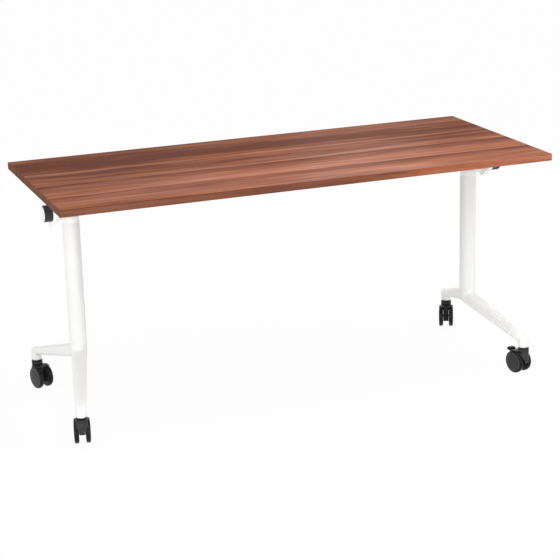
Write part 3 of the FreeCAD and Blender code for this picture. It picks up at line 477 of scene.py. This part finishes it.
def spread(node_name, place, axis):
    """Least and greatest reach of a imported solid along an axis, and its greatest radius about it."""
    offsets = [vertex.co - Vector(place) for vertex in nodes[node_name].data.vertices]
    axis = Vector(axis).normalized()
    reach = [offset.dot(axis) for offset in offsets]
    radius = max((offset - axis * offset.dot(axis)).length for offset in offsets)
    return min(reach), max(reach), radius


print("piece helpers ready")

# %% [markdown]
# ## Feet
# Each foot is one casting: two arms that leave the hub in soft curves, a round socket under each end, and
# no corner anywhere. A bevel can't follow the curves where the arms meet the hub, so the copy of the
# solid is turned into an even skin of small faces, and the skin is relaxed until the corners flow. The
# rim where the column stands is held still, so that the joint stays a hairline.

# %% Feet as relaxed castings
def even_skin(shape, voxel):
    """Covers a closed shape with small even faces."""
    holder_mesh = bpy.data.meshes.new("holder")
    shape.to_mesh(holder_mesh)
    shape.free()
    holder = bpy.data.objects.new("holder", holder_mesh)
    bpy.context.scene.collection.objects.link(holder)
    remesh = holder.modifiers.new("even", "REMESH")
    remesh.mode = "VOXEL"
    remesh.voxel_size = voxel
    skinned = holder.evaluated_get(bpy.context.evaluated_depsgraph_get()).to_mesh()
    skin = bmesh.new()
    skin.from_mesh(skinned)
    holder.to_mesh_clear()
    bpy.data.objects.remove(holder)
    bpy.data.meshes.remove(holder_mesh)
    return skin


def relax(shape, passes, free):
    """Lets the free vertices settle between their neighbours, which rounds corners and fills hollows."""
    loose = [vertex for vertex in shape.verts if free(vertex.co)]
    for _ in range(passes):
        bmesh.ops.smooth_vert(shape, verts=loose, factor=0.5,
                              use_axis_x=True, use_axis_y=True, use_axis_z=True)
    return shape


SIDES = ("left", "right")
FOOT_VOXEL = 2.4 * MM
FOOT_PASSES = 26
SEAM_BAND = 4.0 * MM
for side in SIDES:
    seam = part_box("column_" + side)[0].z
    skin = even_skin(merged_copy("foot_" + side), FOOT_VOXEL)
    relax(skin, FOOT_PASSES, lambda place: place.z < seam - SEAM_BAND)
    finish_piece(skin, "cast_foot_" + side, ["foot_" + side], [WHITE_COAT])

# %% [markdown]
# ## Columns, heads, beam, brackets and pins
# The frame is drawn tube, cast heads and brackets, and turned pins. Their shapes are right in the packed
# solids, and only the corners are too sharp to look made. So each one is a copy with every corner rounded
# a little, the castings more than the turned and drawn pieces.

# %% Frame pieces with soft corners
CORNER_OF_KIND = {
    "column": 0.6 * MM, "column_head": 0.9 * MM, "tilt_bracket": 1.2 * MM, "tilt_pin": 0.5 * MM,
    "knob_spindle": 0.4 * MM,
}
for kind, round_by in CORNER_OF_KIND.items():
    for side in SIDES:
        name = kind + "_" + side
        finish = MATERIAL_OF_SLOT[slot_of_node[name]]
        finish_piece(soften(merged_copy(name), round_by), "soft_" + name, [name], [finish])
beam = soften(merged_copy("cross_beam"), CORNER_OF_KIND["column"])
finish_piece(beam, "soft_cross_beam", ["cross_beam"], [WHITE_COAT])

# %% [markdown]
# ## Bracket screws
# Four pan-head screws hold each bracket to the underside of the top. A screw is round, so one is turned
# from a profile with a dished head and a socket, and copies stand in the corners of the two bracket
# plates.

# %% Screws
SCREW_SIDE, SCREW_END = 12 * MM, 14 * MM
SCREW_RADIUS, SCREW_HEAD_RADIUS = 2.3 * MM, 4.5 * MM
SCREW_HEAD_TALL = 3 * MM
SOCKET_RADIUS, SOCKET_DEEP = 1.8 * MM, 1.5 * MM
SOCKET_EDGE, HEAD_ROUND = 0.2 * MM, 1.6 * MM
SCREW_STEPS = 28
screw_low, screw_high = (corner.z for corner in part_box("bracket_screws"))
screw_profile = [
    (0.0, screw_low + SOCKET_DEEP, 0),
    (SOCKET_RADIUS, screw_low + SOCKET_DEEP, 0),
    (SOCKET_RADIUS, screw_low, SOCKET_EDGE),
    (SCREW_HEAD_RADIUS, screw_low, HEAD_ROUND),
    (SCREW_HEAD_RADIUS, screw_low + SCREW_HEAD_TALL, 0),
    (SCREW_RADIUS, screw_low + SCREW_HEAD_TALL, 0),
    (SCREW_RADIUS, screw_high - SCREW_RADIUS, 0),
    (0.0, screw_high, 0),
]
screws = bmesh.new()
for side in SIDES:
    plate_low, plate_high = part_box("tilt_bracket_" + side)
    for x in (plate_low.x + SCREW_SIDE, plate_high.x - SCREW_SIDE):
        for y in (plate_low.y + SCREW_END, plate_high.y - SCREW_END):
            one = turned(screw_profile, SCREW_STEPS)
            bmesh.ops.translate(one, vec=(x, y, 0), verts=one.verts)
            lent = bpy.data.meshes.new("lent")
            one.to_mesh(lent)
            one.free()
            screws.from_mesh(lent)
            bpy.data.meshes.remove(lent)
finish_piece(screws, "pan_head_screws", ["bracket_screws"], [ZINC_STEEL])

# %% [markdown]
# ## Castor wheels
# A castor wheel is a moulded disc, slightly domed, with a groove near its rim and a glossy
# tread with round shoulders. It is round about its axle, so it is turned from one profile. Disc and tread
# differ in tone, the groove is painted pale as a painted highlight, and a face takes its finish from its
# distance to the axle.

# %% Wheels
CORNERS = ("fl", "fr", "bl", "br")
BORE_RADIUS = 4.05 * MM
GROOVE_RADIUS = 28.5 * MM
GROOVE_HALF = 1.0 * MM
GROOVE_DEEP = 0.9 * MM
GROOVE_EDGE, GROOVE_FLOOR_EDGE = 0.3 * MM, 0.2 * MM
TREAD_ROUND = 5.0 * MM
CROWN = 0.7 * MM
HALFWAY_RISE = 0.75


def wheel_shape(inner, crown, radius):
    """One wheel about Z, from its inner face up to the crown of its disc."""
    rim = crown - CROWN
    shape = turned([
        (BORE_RADIUS, inner, 0),
        (radius, inner, TREAD_ROUND),
        (radius, rim, TREAD_ROUND),
        (GROOVE_RADIUS + GROOVE_HALF, rim, GROOVE_EDGE),
        (GROOVE_RADIUS + GROOVE_HALF / 2, rim - GROOVE_DEEP, GROOVE_FLOOR_EDGE),
        (GROOVE_RADIUS - GROOVE_HALF / 2, rim - GROOVE_DEEP, GROOVE_FLOOR_EDGE),
        (GROOVE_RADIUS - GROOVE_HALF, rim, GROOVE_EDGE),
        (radius / 2, rim + CROWN * HALFWAY_RISE, 0),
        (0.0, crown, 0),
    ])
    for face in shape.faces:
        from_groove = face.calc_center_median().xy.length - GROOVE_RADIUS
        # faces in the groove get the painted highlight
        if abs(from_groove) < GROOVE_HALF:
            face.material_index = 2
        elif from_groove > 0:
            face.material_index = 1
    return shape


for corner in CORNERS:
    for half in "ab":
        name = "wheel_%s_%s" % (corner, half)
        hinge = joints[name + "_spin"]
        low, high, radius = spread(name, hinge["pos_m"], hinge["axis"])
        inner, crown = sorted((abs(low), abs(high)))
        shape = wheel_shape(inner, crown, radius)
        bmesh.ops.scale(shape, vec=(1, 1, math.copysign(1, low + high)), verts=shape.verts)
        bmesh.ops.transform(shape, matrix=stood(hinge["pos_m"], hinge["axis"]), verts=shape.verts)
        finish_piece(shape, "turned_" + name, [name], [WHEEL_DISC, WHEEL_TREAD, WHEEL_GROOVE_HIGHLIGHT])

# %% [markdown]
# ## Castor hoods
# The hood is a black moulding over the wheels: a round neck with a paler collar between two grooves, a
# shield in front that tapers to a narrow tip, and thin shoulders. The faces of the shield that look forward
# are painted paler than its flanks, as painted light from the front. A copy of the solid is drawn in
# towards the tip, the edges of the shield get a wide round that is painted pale as a painted highlight,
# and all other edges a small one. A face takes its finish from its place, measured from the swivel axis
# and along the trail of the castor.

# %% Hoods
COLLAR_LOW, COLLAR_HIGH = 80.1 * MM, 85.6 * MM
NECK_ROOT = 73 * MM
SHIELD_START = 2.5 * MM
TAPER_HIGH, TAPER_LOW = 66 * MM, 30 * MM
TIP_SHARE = 0.62
RIM_ROUND = 1.3 * MM
FRONT_SHARE = 0.4
HOOD_EDGE = 0.5 * MM
for corner in CORNERS:
    swivel = Vector(joints["swivel_" + corner]["pos_m"])
    trail = Vector(joints["wheel_%s_a_spin" % corner]["pos_m"]) - swivel
    trail.z = 0.0
    trail.normalize()
    sideways = Vector((-trail.y, trail.x, 0.0))

    def ahead(place):
        return (swivel - place).dot(trail)

    def is_shield_edge(edge):
        """An edge between the front of the shield and one of its flanks."""
        faces_front = sorted(-face.normal.dot(trail) for face in edge.link_faces)
        in_front = min(ahead(vertex.co) for vertex in edge.verts) > SHIELD_START
        below_neck = max(vertex.co.z for vertex in edge.verts) < NECK_ROOT
        return in_front and below_neck and faces_front[0] < FRONT_SHARE < faces_front[1]

    shape = merged_copy("castor_hood_" + corner)
    for vertex in shape.verts:
        if ahead(vertex.co) > SHIELD_START:
            drop = min(1.0, max(0.0, (TAPER_HIGH - vertex.co.z) / (TAPER_HIGH - TAPER_LOW)))
            vertex.co -= sideways * (vertex.co - swivel).dot(sideways) * (1 - TIP_SHARE) * drop
    shield_edges = [edge for edge in sharp_edges(shape) if is_shield_edge(edge)]
    # the wide round on the shield's edges gets the painted highlight
    for face in round_edges(shape, shield_edges, RIM_ROUND, 3):
        face.material_index = 3
    soften(shape, HOOD_EDGE)
    for face in shape.faces:
        middle = face.calc_center_median()
        if COLLAR_LOW < middle.z < COLLAR_HIGH:
            face.material_index = 2
        elif middle.z < NECK_ROOT and ahead(middle) > SHIELD_START and not face.material_index:
            # painted light: faces of the shield that look forward are paler, and its flanks stay black
            face.material_index = 1 if -face.normal.dot(trail) > FRONT_SHARE else 0
    finish_piece(shape, "moulded_hood_" + corner, ["castor_hood_" + corner],
                 [BLACK_MOULDED, PAINTED_LIT_SHIELD, NECK_COLLAR, HOOD_EDGE_HIGHLIGHT])

# %% [markdown]
# ## Brake pedals
# The two front castors have a black lever that is trodden on to hold the wheels. The edges of its tread
# are well rounded, and the eye on its pin is crisp, so the copy is rounded twice, first only the edges of
# the tread.

# %% Pedals
TREAD_ROOT = 61 * MM
TREAD_EDGE = 2.4 * MM
EYE_EDGE = 0.4 * MM
for corner in ("fl", "fr"):
    shape = merged_copy("brake_pedal_" + corner)
    tread_edges = []
    for edge in sharp_edges(shape):
        if min(vertex.co.z for vertex in edge.verts) > TREAD_ROOT:
            tread_edges.append(edge)
    round_edges(shape, tread_edges, TREAD_EDGE, 4)
    soften(shape, EYE_EDGE)
    finish_piece(shape, "moulded_pedal_" + corner, ["brake_pedal_" + corner], [PEDAL_BLACK])

# %% [markdown]
# ## Release knobs
# A knob is a black grip with shallow flutes for the fingers, and a pale cap that fills its end. The
# flutes could be cut one by one, but a wave does it in one go: the grip is turned from a profile, and
# then the vertices of its flank are drawn in on a wave round the axis.

# %% Knob grips
FLUTES = 20
FLUTE_DEEP = 0.9 * MM
GRIP_STEPS = FLUTES * 6
GRIP_ROUND = 1.2 * MM
CAP_SEAT = 3.0 * MM
SEAT_RADIUS = 24.4 * MM
SEAT_EDGE = 0.2 * MM
SPINDLE_RADIUS = 6.0 * MM
OUTWARD = {"left": (-1, 0, 0), "right": (1, 0, 0)}
for side, out in OUTWARD.items():
    hinge = joints["knob_%s_turn" % side]
    low, high, radius = spread("knob_grip_" + side, hinge["pos_m"], out)
    shape = turned([
        (SPINDLE_RADIUS, low, 0),
        (radius, low, GRIP_ROUND),
        (radius, high, GRIP_ROUND),
        (SEAT_RADIUS, high, SEAT_EDGE),
        (SEAT_RADIUS, high - CAP_SEAT, 0),
        (0.0, high - CAP_SEAT, 0),
    ], GRIP_STEPS)
    for vertex in shape.verts:
        reach = vertex.co.xy.length
        if reach > radius - GRIP_ROUND / 2:
            wave = 0.5 - 0.5 * math.cos(FLUTES * math.atan2(vertex.co.y, vertex.co.x))
            vertex.co.xy *= 1 - FLUTE_DEEP * wave / reach
    bmesh.ops.transform(shape, matrix=stood(hinge["pos_m"], out), verts=shape.verts)
    finish_piece(shape, "fluted_grip_" + side, ["knob_grip_" + side], [KNOB_BLACK])

# %% [markdown]
# ## Knob caps
# The cap is a pale moulded disc with one small dark mark, which is a shallow hole. It could be turned
# like the grip, but the solid already has the right shape, so the cap is a copy with soft edges, and the
# floor of its hole is black.

# %% Knob caps
MARK_DEEP = 1.2 * MM
CAP_EDGE = 0.3 * MM
FACES_OUT = 0.9
for side, out in OUTWARD.items():
    name = "knob_cap_" + side
    place = Vector(joints["knob_%s_turn" % side]["pos_m"])
    low, high, radius = spread(name, place, out)
    shape = soften(merged_copy(name), CAP_EDGE)
    for face in shape.faces:
        below_end = high - (face.calc_center_median() - place).dot(Vector(out))
        if face.normal.dot(Vector(out)) > FACES_OUT and below_end > MARK_DEEP / 2:
            face.material_index = 1
    finish_piece(shape, "pale_" + name, [name], [PALE_CAP, BLACK_MOULDED])

# %% [markdown]
# ## Stage, light and camera
# The table stands on a plain white floor under soft studio light: an even white surround, and two wide
# soft boxes that stand low at the left and in front and light the columns and feet. A long strip above
# the front edge lights the top. Near the right end a small box and a strip with a narrower beam make the
# front edge brighter, and a narrow beam reaches the upper end of the left column, which the top would
# leave in shade. A beam on each foot does the same for its arms. Two small lamps put sparks on the
# castors, and a box behind leaves a faint sheen on the top. The surround is white to the eye, and weaker
# as a lamp, so that white paint keeps its shading. The floor shows mostly plain white and keeps a faint
# shadow.

# %% Stage and light
def seen_directly(tree):
    """1 where the camera, a mirror or a lens looks, 0 for the light that falls on things."""
    path = add(tree, "LightPath")
    seen = maths(tree, "ADD", path.outputs["Is Camera Ray"], path.outputs["Is Glossy Ray"])
    return maths(tree, "MINIMUM", maths(tree, "ADD", seen, path.outputs["Is Transmission Ray"]), 1.0)


SURROUND_LIGHT = 0.87
world = bpy.data.worlds.new("studio")
bpy.context.scene.world = world
world.use_nodes = True
surround = world.node_tree.nodes["Background"]
surround.inputs["Color"].default_value = (1.0, 1.0, 1.0, 1.0)
strength = ranged(world.node_tree, seen_directly(world.node_tree), 0.0, 1.0, SURROUND_LIGHT, 1.0)
world.node_tree.links.new(strength, surround.inputs["Strength"])

FLOOR_HALF = 30.0
floor_mesh = bpy.data.meshes.new("floor")
floor_shape = bmesh.new()
bmesh.ops.create_grid(floor_shape, x_segments=1, y_segments=1, size=FLOOR_HALF)
floor_shape.to_mesh(floor_mesh)
floor_shape.free()
floor = bpy.data.objects.new("floor", floor_mesh)
bpy.context.scene.collection.objects.link(floor)
paper, paper_tree, paper_shader = new_material("white_paper")
paper_tree.nodes.remove(paper_shader)
PAPER_GLOW_SHARE = 0.95
PAPER_WHITE = (0.85, 0.85, 0.85, 1.0)
matt = add(paper_tree, "BsdfDiffuse", {"Color": PAPER_WHITE})
glow = add(paper_tree, "Emission", {"Color": (1.0, 1.0, 1.0, 1.0), "Strength": 1.0})
share = maths(paper_tree, "MULTIPLY", seen_directly(paper_tree), PAPER_GLOW_SHARE)
both = add(paper_tree, "MixShader", {0: share, 1: matt.outputs[0], 2: glow.outputs[0]})
paper_tree.links.new(both.outputs[0], paper_tree.nodes["Material Output"].inputs["Surface"])
floor_mesh.materials.append(paper)


def soft_lamp(name, place, target, width, height, power, beam=180.0):
    """A rectangular soft box that looks at a point, with a beam as wide as an angle."""
    data = bpy.data.lights.new(name, "AREA")
    data.shape = "RECTANGLE"
    data.size, data.size_y = width, height
    data.energy = power
    data.spread = math.radians(beam)
    lamp = bpy.data.objects.new(name, data)
    bpy.context.scene.collection.objects.link(lamp)
    lamp.location = place
    lamp.rotation_euler = (Vector(target) - Vector(place)).to_track_quat("-Z", "Y").to_euler()
    lamp.visible_camera = False
    return lamp


soft_lamp("left_box", (-2.6, -2.2, 0.45), (-0.2, 0.0, 0.50), 1.6, 0.7, 8.0)
soft_lamp("front_box", (-0.9, -3.6, 0.40), (0.0, 0.0, 0.45), 1.6, 0.6, 11.3)
soft_lamp("upper_box", (0.32, -0.46, 1.60), (0.32, -0.30, 0.76), 1.7, 0.2, 9.0)
soft_lamp("right_box", (0.86, -0.62, 0.80), (0.84, -0.35, 0.75), 0.25, 0.06, 0.47)
soft_lamp("edge_box", (0.68, -0.60, 0.60), (0.68, -0.35, 0.88), 0.7, 0.06, 0.85, beam=60.0)
soft_lamp("column_box", (-1.3, -1.6, 0.35), (-0.69, 0.0, 0.68), 0.15, 0.15, 0.065, beam=20.0)
FOOT_LAMP_OUT = 0.72
for side, out in OUTWARD.items():
    x = FOOT_LAMP_OUT * out[0]
    soft_lamp("foot_box_" + side, (x, -0.85, 0.70), (x, -0.12, 0.165), 0.2, 0.1, 0.052, beam=40.0)
soft_lamp("left_spark", (-2.0, -1.9, 0.65), (-0.76, -0.2, 0.05), 0.1, 0.1, 2.5)
soft_lamp("high_spark", (-1.1, -1.65, 1.95), (0.0, -0.2, 0.05), 0.1, 0.1, 1.5)
soft_lamp("back_box", (1.38, 2.5, 1.62), (0.2, -0.25, 0.76), 0.60, 0.15, 18.0)
print("stage and lamps ready")

# %% [markdown]
# ## Camera
# The camera stands front left of the table and a little above it, with a long lens, as in the photograph.
# Its place and turn come from the corners of the top, the columns and the castors.

# %% Camera
IMAGE_SIDE = 560
FOCAL_PIXELS = 1670.1
SENSOR = 36.0
CAMERA_PLACE = Vector((-1.8402, -4.9015, 1.9275))
CAMERA_YAW, CAMERA_PITCH, CAMERA_ROLL = (math.radians(angle) for angle in (20.547, 16.748, 1.581))
level_ahead = Vector((math.sin(CAMERA_YAW), math.cos(CAMERA_YAW), 0.0))
level_right = Vector((math.cos(CAMERA_YAW), -math.sin(CAMERA_YAW), 0.0))
looks = level_ahead * math.cos(CAMERA_PITCH) - Vector((0.0, 0.0, math.sin(CAMERA_PITCH)))
level_down = looks.cross(level_right)
right = level_right * math.cos(CAMERA_ROLL) + level_down * math.sin(CAMERA_ROLL)
up = level_right * math.sin(CAMERA_ROLL) - level_down * math.cos(CAMERA_ROLL)
camera_data = bpy.data.cameras.new("camera")
camera_data.sensor_width = SENSOR
camera_data.lens = SENSOR * FOCAL_PIXELS / IMAGE_SIDE
camera = bpy.data.objects.new("camera", camera_data)
bpy.context.scene.collection.objects.link(camera)
camera.matrix_world = Matrix.Translation(CAMERA_PLACE) @ Matrix((right, up, -looks)).transposed().to_4x4()
bpy.context.scene.camera = camera
bpy.context.scene.view_settings.view_transform = "Standard"
print("lens in mm:", round(camera_data.lens, 2))
